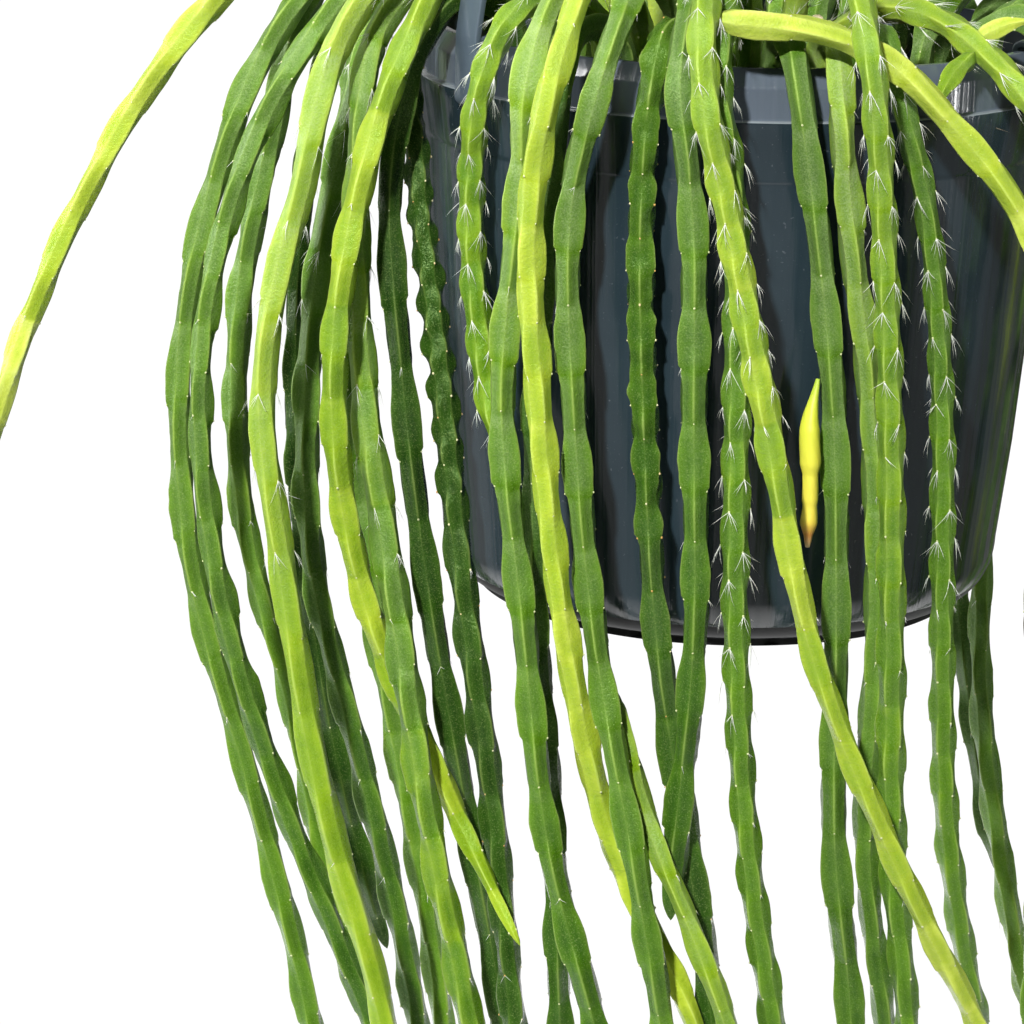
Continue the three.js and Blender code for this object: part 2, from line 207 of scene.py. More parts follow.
def own_place(tree):
    """The piece's own coordinates."""
    return node(tree, "TexCoord").outputs["Object"]


floor_paper, tree, shader = finish("white_floor_paper", Base_Color=(0.16, 0.16, 0.16), Roughness=0.9,
                                   Emission_Color=(1, 1, 1))
# Painted reflection: near the pot, the floor glows for reflected rays only, which puts a bright highlight
# along the pot's bottom corner. The camera still sees plain white paper.
from_pot = node(tree, "VectorMath", operation="LENGTH", Vector=own_place(tree)).outputs["Value"]
reflected_glow = rescaled(tree, from_pot, (0.80, 0.62), (0, 3))
in_gloss = node(tree, "LightPath").outputs["Is Glossy Ray"]
given(shader, Emission_Strength=calculated(tree, "MULTIPLY", in_gloss, reflected_glow))
lit_paper = node(tree, "Emission", Strength=PAPER_GLOW)
given(tree.nodes["Material Output"], Surface=seen_or_lit(tree, lit_paper, shader))
floor_mesh.materials.append(floor_paper)


# Pot
# One moulded shell of glossy dark slate plastic: a low foot band with small notches, a wall that widens
# upwards, a thin ledge, a rim band and a bevelled lip. Six holes drain its floor.
def add_piece(name, vertices, face_groups, materials, attributes=None):
    """Puts arrays into a smooth-shaded mesh. A face group is an array of quads or triangles, with the
    number of its material. An attribute holds one value for each vertex."""
    mesh = bpy.data.meshes.new(name)
    mesh.vertices.add(len(vertices))
    mesh.vertices.foreach_set("co", np.asarray(vertices, np.float32).ravel())
    corners = np.concatenate([faces.ravel() for faces, _ in face_groups])
    counts = np.concatenate([np.full(len(faces), faces.shape[1]) for faces, _ in face_groups])
    looks = np.concatenate([np.full(len(faces), number) for faces, number in face_groups])
    mesh.loops.add(len(corners))
    mesh.loops.foreach_set("vertex_index", corners.astype(np.int32))
    mesh.polygons.add(len(counts))
    mesh.polygons.foreach_set("loop_start", (np.cumsum(counts) - counts).astype(np.int32))
    mesh.polygons.foreach_set("material_index", looks.astype(np.int32))
    mesh.polygons.foreach_set("use_smooth", np.ones(len(counts), bool))
    mesh.update(calc_edges=True)
    for key, values in (attributes or {}).items():
        layer = mesh.attributes.new(key, "FLOAT", "POINT")
        layer.data.foreach_set("value", np.asarray(values, np.float32).ravel())
    for material in materials:
        mesh.materials.append(material)
    piece = bpy.data.objects.new(name, mesh)
    bpy.context.scene.collection.objects.link(piece)
    return piece


def grid_faces(rows, columns):
    """The quads of a grid whose last column joins its first, anticlockwise as seen from outside."""
    row = np.arange(rows - 1)[:, None] * columns
    here = np.arange(columns)[None]
    after = (here + 1) % columns
    ring = np.stack([here, after, columns + after, columns + here], -1)
    return (row[..., None] + ring).reshape(-1, 4)


def end_faces(first, columns, pole, reverse):
    """The triangles between a grid's end ring, which starts at vertex first, and a pole."""
    here = first + np.arange(columns)
    after = first + (np.arange(columns) + 1) % columns
    fan = np.stack([here, after, np.full(columns, pole)], -1)
    return fan[:, ::-1] if reverse else fan


def closed_grid(rows, columns):
    """A grid's quads, and the fans that close its first and last rings at two poles after the grid."""
    fans = np.vstack([end_faces(0, columns, rows * columns, True),
                      end_faces((rows - 1) * columns, columns, rows * columns + 1, False)])
    return grid_faces(rows, columns), fans


def eased(profile, radius, steps=4):
    """A profile with each inner corner replaced by a short curve that starts and ends a radius from it,
    or at 0.45 of the way to the next corner where that is nearer."""
    profile = np.array(profile, float)
    points = [profile[:1]]
    t = np.linspace(0, 1, steps + 1)[:, None]
    for before, corner, after in zip(profile[:-2], profile[1:-1], profile[2:]):
        into, out = before - corner, after - corner
        into *= min(radius / np.linalg.norm(into), 0.45)
        out *= min(radius / np.linalg.norm(out), 0.45)
        points.append(corner + into * (1 - t) ** 2 + out * t ** 2)
    return np.vstack(points + [profile[-1:]])


def turned(profile, sides, middle=(0, 0)):
    """A profile of radius and height, from the axis to the axis, turned round the upright axis."""
    turn = np.linspace(0, 2 * np.pi, sides, endpoint=False)
    radius, height = profile[1:-1, :1], profile[1:-1, 1:]
    rings = np.stack([radius * np.cos(turn) + middle[0], radius * np.sin(turn) + middle[1],
                      height + 0 * turn], -1).reshape(-1, 3)
    poles = [[*middle, profile[0, 1]], [*middle, profile[-1, 1]]]
    return np.vstack([rings, poles]), *closed_grid(len(radius), sides)


def from_foot(points):
    """Places in the scene, from millimetres above the middle of the pot's foot."""
    return points * MM + [0, 0, pot_foot]


POT_SIDES = 288
POT_HEIGHT = 133
LIP_RADIUS = 70.8
RIM_BAND_RADIUS = 73.2
RIM_BAND_TOP = 129
LEDGE_RADIUS = 75
LEDGE_HEIGHT = 122
WALL_OUTLINE = [[69.0, 38], [70.9, 64], [73.2, 108.2], [73.45, 109], [74.8, 119.5]]
WALL = 1.6
FLOOR = 2
FOOT_RADIUS = 58.5
FOOT_BAND = 2.4
FOOT_BAND_RADIUS = 59.5
BOWL_REACH = 7
BOWL_RISE = 11.6
DARK_BAND = 6.0
DARK_BAND_DEPTH = 1.2
NOTCHES = 12
NOTCH_WIDTH = 2.2
NOTCH_DEPTH = 0.7
FIRST_NOTCH = -17
DRAIN_HOLES = 6
DRAIN_RADIUS = 4
DRAIN_CIRCLE = 38

corner_turn = np.linspace(0, np.pi / 2, 14)[1:]
bowl_corner = np.column_stack([FOOT_BAND_RADIUS + BOWL_REACH * np.sin(corner_turn),
                               FOOT_BAND + BOWL_RISE * (1 - np.cos(corner_turn))])
outside = np.vstack([
    eased([[0, 0], [FOOT_RADIUS, 0], [FOOT_RADIUS, 1.8], [FOOT_BAND_RADIUS, FOOT_BAND]], 0.3),
    bowl_corner,
    eased(WALL_OUTLINE + [[LEDGE_RADIUS, LEDGE_HEIGHT], [RIM_BAND_RADIUS, LEDGE_HEIGHT + 0.1],
                          [RIM_BAND_RADIUS, RIM_BAND_TOP], [LIP_RADIUS, POT_HEIGHT],
                          [LIP_RADIUS - WALL, POT_HEIGHT]], 0.45),
])
inside = eased([[RIM_BAND_RADIUS - WALL, RIM_BAND_TOP - 0.4], [73.4 - WALL, 110], [66.5 - WALL, 14],
                [63, 7], [57, FLOOR], [0, FLOOR]], 2)
pot_vertices, pot_quads, pot_fans = turned(np.vstack([outside, inside]), POT_SIDES)
azimuth = np.degrees(np.arctan2(pot_vertices[:, 0], -pot_vertices[:, 1]))
spacing = 360 / NOTCHES
from_notch = np.abs((azimuth - FIRST_NOTCH + spacing / 2) % spacing - spacing / 2)
from_notch = np.radians(from_notch) * FOOT_RADIUS
in_notch = (from_notch < NOTCH_WIDTH / 2) & (pot_vertices[:, 2] > 0.2) & (pot_vertices[:, 2] < 2)
pot_vertices[in_notch, :2] *= 1 - NOTCH_DEPTH / FOOT_RADIUS
pot_vertices = from_foot(pot_vertices)


def ramp(tree, source, stops):
    """A colour ramp over a value. Each stop is a place and a colour, or a place and a grey level."""
    made = node(tree, "ValToRGB", Fac=source)
    elements = made.color_ramp.elements
    while len(elements) < len(stops):
        elements.new(1)
    for element, (place, color) in zip(elements, stops):
        element.position = place
        element.color = (*color, 1) if np.ndim(color) else (color, color, color, 1)
    return made.outputs["Color"]


def noise(tree, scale, detail=2, place=None, roughness=0.5):
    """A noise value on the piece's own coordinates, with its features about 1/scale metres across."""
    return node(tree, "TexNoise", Vector=place or own_place(tree), Scale=scale, Detail=detail,
                Roughness=roughness).outputs["Fac"]


def blend(tree, share, first, second):
    """A colour between two others. Each may be a colour or an output."""
    made = node(tree, "Mix", data_type="RGBA")
    join(made.inputs[0], share)
    join(made.inputs[6], first)
    join(made.inputs[7], second)
    return made.outputs[2]


def bumped(tree, shader, height, strength, distance):
    """Gives a shader a bump from a height."""
    bump = node(tree, "Bump", Height=height, Strength=strength, Distance=distance)
    given(shader, Normal=bump.outputs[0])


slate_plastic, tree, shader = finish("slate_gloss_plastic", Coat_Weight=0.35, Coat_Roughness=0.06)
dust = ramp(tree, noise(tree, 900, 1), [(0.73, 0.0), (0.80, 0.3)])
fine_dust = ramp(tree, noise(tree, 2600, 1), [(0.68, 0.0), (0.80, 0.16)])
cloudy = ramp(tree, noise(tree, 28, 4), [(0.35, (0.016, 0.028, 0.036)), (0.7, (0.024, 0.040, 0.050))])
height_here = node(tree, "SeparateXYZ", Vector=own_place(tree)).outputs["Z"]
ledge_here = pot_foot + LEDGE_HEIGHT * MM
on_band = rescaled(tree, height_here, (ledge_here - 0.2 * MM, ledge_here + 0.1 * MM), (0, 0.75))
banded = blend(tree, on_band, cloudy, (0.120, 0.145, 0.180))
dusty = blend(tree, dust, banded, (0.19, 0.21, 0.24))
dusty = blend(tree, fine_dust, dusty, (0.12, 0.14, 0.17))
# Painted highlight: a thin pale strip along the ledge's edge, where the ledge would catch the light.
near_ledge = rescaled(tree, height_here, (ledge_here - 1 * MM, ledge_here + 1 * MM), (0, 1))
ledge_highlight = ramp(tree, near_ledge, [(0.38, 0.0), (0.45, 0.7), (0.53, 0.7), (0.58, 0.0)])
flat_place = node(tree, "VectorMath", operation="MULTIPLY", Vector=own_place(tree))
flat_place.inputs[1].default_value = (1, 1, 0)
down_wall = node(tree, "VectorMath", operation="NORMALIZE", Vector=flat_place.outputs[0]).outputs[0]
rub_marks = noise(tree, 42, 4, down_wall)
given(shader, Base_Color=blend(tree, ledge_highlight, dusty, (0.34, 0.38, 0.40)),
      Roughness=ramp(tree, rub_marks, [(0.40, 0.10), (0.60, 0.26)]))
bumped(tree, shader, noise(tree, 26, 4, down_wall), 0.22, 0.0008)

# Painted shade: the foot band and the lowest 6 mm of the wall get a near-black material, standing in for
# the shade in the recess under the bowl's corner.
foot_shade, _, _ = finish("foot_band_painted_shade", Base_Color=(0.004, 0.004, 0.005), Roughness=0.6,
                            Specular_IOR_Level=0.2)
quad_heights = pot_vertices[pot_quads, 2].mean(1)
in_foot_shade = (quad_heights < pot_foot + DARK_BAND * MM) & (quad_heights > pot_foot)
in_foot_shade &= np.hypot(*pot_vertices[pot_quads].mean(1)[:, :2].T) > (FOOT_RADIUS - DARK_BAND_DEPTH) * MM
pot_groups = [(pot_quads[~in_foot_shade], 0), (pot_quads[in_foot_shade], 1), (pot_fans, 0)]
pot = add_piece("pot_shell", pot_vertices, pot_groups, [slate_plastic, foot_shade])
drill_profile = np.array([[0, -3], [DRAIN_RADIUS, -3], [DRAIN_RADIUS, 6], [0, 6]], float)
for hole in range(DRAIN_HOLES):
    turn = 2 * np.pi * hole / DRAIN_HOLES
    middle = (DRAIN_CIRCLE * np.cos(turn), DRAIN_CIRCLE * np.sin(turn))
    vertices, quads, fans = turned(drill_profile, 32, middle)
    drill = add_piece("drill", from_foot(vertices), [(quads, 0), (fans, 0)], [])
    cut = pot.modifiers.new("drain_hole", "BOOLEAN")
    cut.object = drill
    cut.solver = "EXACT"
    bpy.context.view_layer.objects.active = pot
    bpy.ops.object.modifier_apply(modifier=cut.name)
    bpy.data.objects.remove(drill)
pot.data.set_sharp_from_angle(angle=np.radians(50))
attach(pot, "root")
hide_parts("pot")

# Soil
# Dark peaty potting mix, filled up to 14 mm below the lip. Bark chips lie in it, and fine roots and a
# little moss lie on it.
SOIL_RADIUS = 70.8
SOIL_TOP = 119
SOIL_SIDE = [[0, 2.3], [56.4, 2.3], [62.4, 7.3], [64.3, 14.3], [71.2, 110.3]]
SOIL_RINGS = 50
SOIL_LUMPS = 1.1
LUMP_SEED = 5
BARK_CHIPS = 1500
soil_seed = np.random.default_rng(3)


def lumps(x, y):
    """A bumpy height: a sum of plane waves with random directions, from 60 mm down to 5 mm long."""
    seed = np.random.default_rng(LUMP_SEED)
    length = np.geomspace(60, 5, 60)
    heading = seed.uniform(0, 2 * np.pi, len(length))
    start = seed.uniform(0, 2 * np.pi, len(length))
    along = x[..., None] * np.cos(heading) + y[..., None] * np.sin(heading)
    waves = np.cos(2 * np.pi * along / length + start) * length ** 0.5
    return waves.sum(-1) / (length ** 0.5).sum() * 3 * SOIL_LUMPS


soil_rings = np.linspace(SOIL_RADIUS, 1, SOIL_RINGS)
top_profile = np.column_stack([soil_rings, np.full(SOIL_RINGS, float(SOIL_TOP))])
vertices, quads, fans = turned(np.vstack([SOIL_SIDE, top_profile, [[0, SOIL_TOP]]]), 160)
vertices[:, 2] += np.where(vertices[:, 2] > SOIL_TOP - 1, lumps(vertices[:, 0], vertices[:, 1]), 0)
potting_mix, tree, shader = finish("potting_mix", Roughness=0.9)
crumbs = ramp(tree, noise(tree, 420, 5), [(0.35, (0.006, 0.004, 0.003)), (0.55, (0.028, 0.016, 0.009)),
                                          (0.72, (0.085, 0.055, 0.03))])
mossy = ramp(tree, noise(tree, 60, 3), [(0.52, 0.0), (0.66, 0.55)])
given(shader, Base_Color=blend(tree, mossy, crumbs, (0.035, 0.06, 0.012)))
bumped(tree, shader, noise(tree, 600, 5), 0.9, 0.0012)
soil = add_piece("potting_soil", from_foot(vertices), [(quads, 0), (fans, 0)], [potting_mix])
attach(soil, "root")
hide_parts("soil")


def on_soil(count, seed, reach=68):
    """Random places on the soil, as points in millimetres above the pot's foot."""
    distance = reach * np.sqrt(seed.uniform(0, 1, count))
    heading = seed.uniform(0, 2 * np.pi, count)
    x, y = distance * np.cos(heading), distance * np.sin(heading)
    return np.column_stack([x, y, SOIL_TOP + lumps(x, y)])


def turned_round(points, turn):
    """Points turned about the upright axis."""
    x = points[..., 0] * np.cos(turn) - points[..., 1] * np.sin(turn)
    y = points[..., 0] * np.sin(turn) + points[..., 1] * np.cos(turn)
    return np.stack([x, y, points[..., 2]], -1)


def chips(count, seed):
    """Bark chips: octahedra whose six corners are pulled out by random lengths, flattened and turned."""
    shape = np.array([[1, 0, 0], [-1, 0, 0], [0, 1, 0], [0, -1, 0], [0, 0, 1], [0, 0, -1]], float)
    sides = np.array([[0, 2, 4], [2, 1, 4], [1, 3, 4], [3, 0, 4],
                      [2, 0, 5], [1, 2, 5], [3, 1, 5], [0, 3, 5]])
    size = seed.uniform(0.5, 2.2, (count, 1, 1)) * seed.uniform(0.6, 1.2, (count, 6, 1))
    extents = ((0.8, 1.6), (0.5, 1), (0.25, 0.6))
    flat = np.stack([seed.uniform(low, high, count) for low, high in extents], -1)
    local = shape * size * flat[:, None]
    corners = turned_round(local, seed.uniform(0, 2 * np.pi, (count, 1))) + on_soil(count, seed)[:, None]
    return corners.reshape(-1, 3), (np.arange(count)[:, None, None] * 6 + sides).reshape(-1, 3)


bark_chips, tree, shader = finish("bark_chips", Roughness=0.85)
given(shader, Base_Color=ramp(tree, noise(tree, 240, 1), [
    (0.3, (0.012, 0.007, 0.004)), (0.5, (0.06, 0.032, 0.015)), (0.68, (0.20, 0.13, 0.07))]))
chip_corners, chip_sides = chips(BARK_CHIPS, soil_seed)
bark = add_piece("bark_in_soil", from_foot(chip_corners), [(chip_sides, 0)], [bark_chips])
bark.data.polygons.foreach_set("use_smooth", np.zeros(len(bark.data.polygons), bool))
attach(bark, "root")

# Bristles, roots and moss
# A bristle is a fine, stiff, white hair, a few millimetres long, that tapers to a point. The thin roots
# on the soil and the blades of moss have the same form.
BRISTLE_SIDES = 3
BRISTLE_RINGS = np.array([0, 0.35, 0.7])
BRISTLE_TAPER = 0.8
ROOTS = 260
ROOT_RADIUS = 0.16
MOSS_CLUMPS = 40
MOSS_BLADES = 2600
MOSS_RADIUS = 0.22


def bristles(roots, headings, bends, lengths, thick):
    """Tapered hairs. Each runs from its root along its heading and bends aside in proportion to the
    square of the way gone. Its section, a triangle, shrinks evenly, and it ends in a point."""
    way = BRISTLE_RINGS[None, :, None]
    going = headings[:, None] * way + bends[:, None] * way ** 2
    spine = roots[:, None] + lengths[:, None, None] * going
    helper = np.where(np.abs(headings[:, 2:]) < 0.9, [[0, 0, 1.0]], [[1.0, 0, 0]])
    side = unit(np.cross(headings, helper))
    other = np.cross(headings, side)
    turn = np.arange(BRISTLE_SIDES) * 2 * np.pi / BRISTLE_SIDES
    round_it = side[:, None, None] * np.cos(turn)[:, None] + other[:, None, None] * np.sin(turn)[:, None]
    rings = spine[:, :, None] + round_it * (thick * (1 - BRISTLE_TAPER * way))[..., None]
    tips = roots + lengths[:, None] * (headings + bends)
    rows = len(BRISTLE_RINGS)
    point_at = rows * BRISTLE_SIDES
    vertices = np.concatenate([rings.reshape(len(roots), point_at, 3), tips[:, None]], 1)
    first = (np.arange(len(roots)) * (point_at + 1))[:, None, None]
    quads = first + grid_faces(rows, BRISTLE_SIDES)
    points = first + end_faces(point_at - BRISTLE_SIDES, BRISTLE_SIDES, point_at, False)
    return vertices.reshape(-1, 3), quads.reshape(-1, 4), points.reshape(-1, 3)


def merged(*parts):
    """Several parts in one: their vertices, and their groups of faces. Each part is given as its
    vertices, its quads, its triangles and the number of its material."""
    groups = []
    total = 0
    for vertices, quads, triangles, look in parts:
        groups += [(quads + total, look), (triangles + total, look)]
        total += len(vertices)
    return np.vstack([part[0] for part in parts]), groups


root_hair, _, _ = finish("dry_root", Base_Color=(0.38, 0.30, 0.17), Roughness=0.7)
moss_green, _, _ = finish("moss", Base_Color=(0.08, 0.16, 0.02), Roughness=0.8)
headings = unit(soil_seed.normal(0, 1, (ROOTS, 3)) * [1, 1, 0.25])
root_starts = on_soil(ROOTS, soil_seed) + [0, 0, 0.5]
root_bends = soil_seed.normal(0, 0.35, (ROOTS, 3)) * [1, 1, 0.4]
fine_roots = bristles(root_starts, headings, root_bends, soil_seed.uniform(5, 16, ROOTS), ROOT_RADIUS)
clumps = on_soil(MOSS_CLUMPS, soil_seed, 66)
clump_of = soil_seed.integers(0, MOSS_CLUMPS, MOSS_BLADES)
moss_starts = clumps[clump_of] + soil_seed.normal(0, 2.2, (MOSS_BLADES, 3)) * [1, 1, 0.1]
headings = unit(soil_seed.normal(0, 0.5, (MOSS_BLADES, 3)) + [0, 0, 1])
moss_bends = soil_seed.normal(0, 0.3, (MOSS_BLADES, 3))
moss = bristles(moss_starts, headings, moss_bends, soil_seed.uniform(1, 3, MOSS_BLADES), MOSS_RADIUS)
vertices, groups = merged((*fine_roots, 0), (*moss, 1))
litter = add_piece("roots_and_moss", from_foot(vertices), groups, [root_hair, moss_green])
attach(litter, "root")

# Hanger hook
# A slate plastic hook, moulded in one with the round hub that it grows out of. Its inside top is the
# point that the rail bears on.
HOOK_RADIUS = 12
HOOK_WIRE = 2.4
HOOK_START = -70
HOOK_END = 200
HOOK_POINTS = 10
HOOK_COLUMNS = 20
ROUNDED_RINGS = 3
HUB_RADIUS = 9
HUB_THICKNESS = 6
HOOK_STEM = 20
HUB_TOP = -2 * HOOK_RADIUS - HOOK_STEM


def run_along(line):
    """How far along a line each of its points is."""
    return np.concatenate([[0], np.cumsum(np.linalg.norm(np.diff(line, axis=0), axis=1))])


def smooth_line(points, spacing):
    """A Catmull-Rom curve through the points, resampled at even steps. Gives the run and the line."""
    ends = np.vstack([2 * points[0] - points[1], points, 2 * points[-1] - points[-2]])
    t = np.linspace(0, 1, 24, endpoint=False)[:, None, None]
    a, b, c, d = ends[:-3], ends[1:-2], ends[2:-1], ends[3:]
    curve = 0.5 * (2 * b + (c - a) * t + (2 * a - 5 * b + 4 * c - d) * t ** 2
                   + (3 * b - a - 3 * c + d) * t ** 3)
    curve = np.vstack([curve.transpose(1, 0, 2).reshape(-1, 3), points[-1:]])
    gone = run_along(curve)
    run = np.linspace(0, gone[-1], max(round(gone[-1] / spacing), 8) + 1)
    return run, np.column_stack([np.interp(run, gone, curve[:, k]) for k in range(3)])


def carried_frame(line):
    """Directions along a line: its tangent, one square to it in its flattest plane, and the third."""
    tangent = unit(np.gradient(line, axis=0))
    flat_normal = np.linalg.svd(line - line.mean(0), full_matrices=False)[2][2]
    normal = unit(np.cross(tangent, flat_normal))
    return tangent, normal, np.cross(tangent, normal)


def swept(line, radius, turn):
    """A closed tube round a line, from the radius of each ring at each turn. A fan closes each end."""
    _, normal, across = carried_frame(line)
    first, second = radius * np.cos(turn), radius * np.sin(turn)
    rings = line[:, None] + normal[:, None] * first[..., None] + across[:, None] * second[..., None]
    return np.vstack([rings.reshape(-1, 3), line[:1], line[-1:]]), *closed_grid(len(line), len(turn))


hook_turns = np.radians(np.linspace(HOOK_START, HOOK_END, HOOK_POINTS))
hook_reach = HOOK_RADIUS + HOOK_WIRE
hook_heights = hook_reach * np.sin(hook_turns) - HOOK_RADIUS
_, hook_line = smooth_line(np.vstack([
    [[0, 0, HUB_TOP - 1], [0, 0, HUB_TOP + HOOK_STEM / 2]],
    np.column_stack([hook_reach * np.cos(hook_turns), 0 * hook_turns, hook_heights]),
]), 1)
from_end = np.minimum(1, (np.arange(len(hook_line))[::-1] + 0.35) / ROUNDED_RINGS)
wire = HOOK_WIRE * np.sqrt(1 - (1 - from_end) ** 2)[:, None]
hook_wire = swept(hook_line, wire, np.linspace(0, 2 * np.pi, HOOK_COLUMNS, endpoint=False))
hub_bottom = HUB_TOP - HUB_THICKNESS
hub = turned(eased([[0, hub_bottom], [HUB_RADIUS, hub_bottom], [HUB_RADIUS, HUB_TOP], [4, HUB_TOP],
                    [0, HUB_TOP + 1]], 0.8), 64)

hanger_plastic, tree, shader = finish("hanger_plastic", Roughness=0.32, Coat_Weight=0.3,
                                      Coat_Roughness=0.15)
given(shader, Base_Color=ramp(tree, noise(tree, 60, 4), [
    (0.3, (0.066, 0.090, 0.115)), (0.7, (0.098, 0.131, 0.162))]))
bumped(tree, shader, noise(tree, 500, 2), 0.06, 0.0002)
vertices, groups = merged((*hook_wire, 0), (*hub, 0))
hook = add_piece("hook_and_hub", vertices * MM, groups, [hanger_plastic])
hook.data.set_sharp_from_angle(angle=np.radians(60))
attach(hook, "root")
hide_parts("hanger_hook")

# Hanger arms
# Three flat plastic straps. Each has a rounded foot outside the rim, a clip that passes over the lip and
# grips it from inside, and a small hook at its top that sits on the hub.
ARM_AZIMUTHS = (-51, 69, 189)
ARM_WIDTH = 8
ARM_THICKNESS = 1.7
ARM_BOW = 7
ARM_FOOT = 119.5
FOOT_ROUNDING = 1.6
CLIP_WIDTH = ARM_WIDTH - 0.6
CLIP_THICKNESS = 1.6
CLIP_DEPTH = 9
GAP = 0.3
HUB_HOOK_REACH = 4.5
HUB_HOOK_HEIGHT = 0.8
EDGE_RADIUS = 0.45
STRAP_COLUMNS = 20


def strap(path, width, thickness, rounded_start):
    """A flat strap along a path of reach and height. Its section is a rounded rectangle. Its start can be
    rounded like a finger's end: a circle's edge gives the half width there."""
    points = np.column_stack([path[:, 0], 0 * path[:, 0], path[:, 1]])
    gone = run_along(points)
    sideways = np.array([0, 1.0, 0])
    normal = np.cross(unit(np.gradient(points, axis=0)), sideways)
    turn = np.linspace(0, 2 * np.pi, STRAP_COLUMNS, endpoint=False) + np.pi / STRAP_COLUMNS
    cut = np.maximum(0, 1 - gone / rounded_start) if rounded_start else 0 * gone
    half = width / 2 - rounded_start * (1 - np.sqrt(1 - cut ** 2))
    across = np.sign(np.sin(turn)) * (half[:, None] - EDGE_RADIUS) + EDGE_RADIUS * np.sin(turn)
    depth = np.sign(np.cos(turn)) * (thickness / 2 - EDGE_RADIUS) + EDGE_RADIUS * np.cos(turn)
    rings = points[:, None] + normal[:, None] * depth[..., None] + sideways * across[..., None]
    faces = closed_grid(len(points), STRAP_COLUMNS)
    return np.vstack([rings.reshape(-1, 3), points[:1], points[-1:]]), *faces


HANGING_POINT = -pot_foot / MM
rim_reach = LEDGE_RADIUS + GAP + ARM_THICKNESS / 2
hub_reach = HUB_RADIUS + GAP + ARM_THICKNESS / 2
strap_bottom = POT_HEIGHT + GAP + CLIP_THICKNESS
strap_top = HANGING_POINT + HUB_TOP + GAP
share = np.linspace(0, 1, 60)
strap_reach = rim_reach + (hub_reach - rim_reach) * share + ARM_BOW * np.sin(np.pi * share)
strap_line = np.column_stack([strap_reach, strap_bottom + (strap_top - strap_bottom) * share])
foot_line = np.column_stack([np.full(24, rim_reach), np.linspace(ARM_FOOT, strap_bottom - 0.5, 24)])
over_hub = eased([strap_line[-1] + [0, 0.01], strap_line[-1] + [0, HUB_HOOK_HEIGHT],
                  [HUB_HOOK_REACH, strap_top + HUB_HOOK_HEIGHT]], 0.8, 6)
arm_line = np.vstack([foot_line, strap_line, over_hub[1:]])
clip_reach = LIP_RADIUS - WALL - 2 * GAP - CLIP_THICKNESS / 2
clip_top = POT_HEIGHT + GAP + CLIP_THICKNESS / 2
clip_bottom = POT_HEIGHT + GAP - CLIP_DEPTH
clip_line = eased([[rim_reach, clip_top], [clip_reach, clip_top], [clip_reach, clip_bottom]], 1.4, 8)
vertices, groups = merged((*strap(arm_line, ARM_WIDTH, ARM_THICKNESS, FOOT_ROUNDING), 0),
                          (*strap(clip_line, CLIP_WIDTH, CLIP_THICKNESS, 0), 0))
for number, arm_azimuth in enumerate(ARM_AZIMUTHS, 1):
    arm_vertices = from_foot(turned_round(vertices, np.radians(arm_azimuth - 90)))
    arm = add_piece(f"hanger_strap_{number}", arm_vertices, groups, [hanger_plastic])
    arm.data.set_sharp_from_angle(angle=np.radians(60))
    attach(arm, "root")
    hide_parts(f"hanger_arm_{number}")

# Stems
# Long, jointed, fleshy stems that rise from the soil, arch over the rim and hang. Six ribs swell down
# each joint and drop at a small woolly cushion, from which fine bristles fan out.
RIBS = 6
RING_SPACING = 0.9 * MM
FAR_SPACING = 1.6 * RING_SPACING
COLUMN_TURNS = np.radians([0, 6, 30, 54])
COLUMNS = RIBS * len(COLUMN_TURNS)
# The columns that lie in the valleys between the ribs, which get painted shade.
VALLEY_SHADE = np.tile([0, 0, 1, 0], RIBS)
SECOND_SET_SHIFT = 0.46
KIND_CHANGE = 0.05
SHORTEST_JOINT = 0.92
LONGEST_JOINT = 1.08
VIEWED_SHARE = 0.55
MOST_TWIST = 0.6
UNEVEN_CUSHIONS = 0.045
CREST_SHARPNESS = 200
CREST_HEIGHT = 0.16
WANDER = 0.05
WANDER_KNOTS = 9
LUMP_LENGTH = 2.3 * MM
TIP_DOME = 5
TIP_THINNING = 0.74
ROOT_THINNING = 0.55
ROOT_TAPER = 5 * MM
OLD_TIP_TAPER = 14
YOUNG_TIP_TAPER = 48
GREEN_SPAN = 0.815
LOWEST_CUSHION = 7 * MM
BEAD_SIDES = 6
BEAD_LENGTH = 1.3
MOST_BRISTLES = 9
BRISTLE_RADIUS = 0.072 * MM

# The kinds differ in the joints' length and the core's radius, in millimetres, the swelling, the
# strength of the first set's side ribs, the ribs' sharpness, the lumps, the change of green from joint
# to joint, the frost on the faces, the bristles at a cushion, their length in millimetres, and the share
# of cushions that have them
TRAITS = ("joint", "core", "swell", "flank", "sharp", "lump", "tone", "frost", "hairs", "hair", "hairy")
KINDS = {
    "chain": (25.5, 2.25, 0.60, 0.5, 11, 0.04, 0.02, 1.0, 1, 2.2, 0.3),
    "hairy": (14.5, 2.35, 0.32, 0.9, 10, 0.05, 0.03, 0.45, 6, 5.0, 1),
    "plain": (17, 2.35, 0.40, 0.8, 11, 0.05, 0.03, 0.6, 1, 1.5, 0.4),
    "bumpy": (11.5, 2.25, 0.44, 0.9, 9, 0.19, 0.03, 0.25, 0, 0, 0),
    "young": (27, 2.5, 0.42, 0.6, 8, 0.03, 0.05, 0.4, 1, 1.6, 0.2),
    "slender": (27, 1.9, 0.5, 0.6, 8, 0.03, 0.05, 0.5, 1, 1.6, 0.2),
    "tufted": (27, 2.4, 0.46, 0.7, 8, 0.04, 0.05, 0.9, 5, 5.4, 1),
}

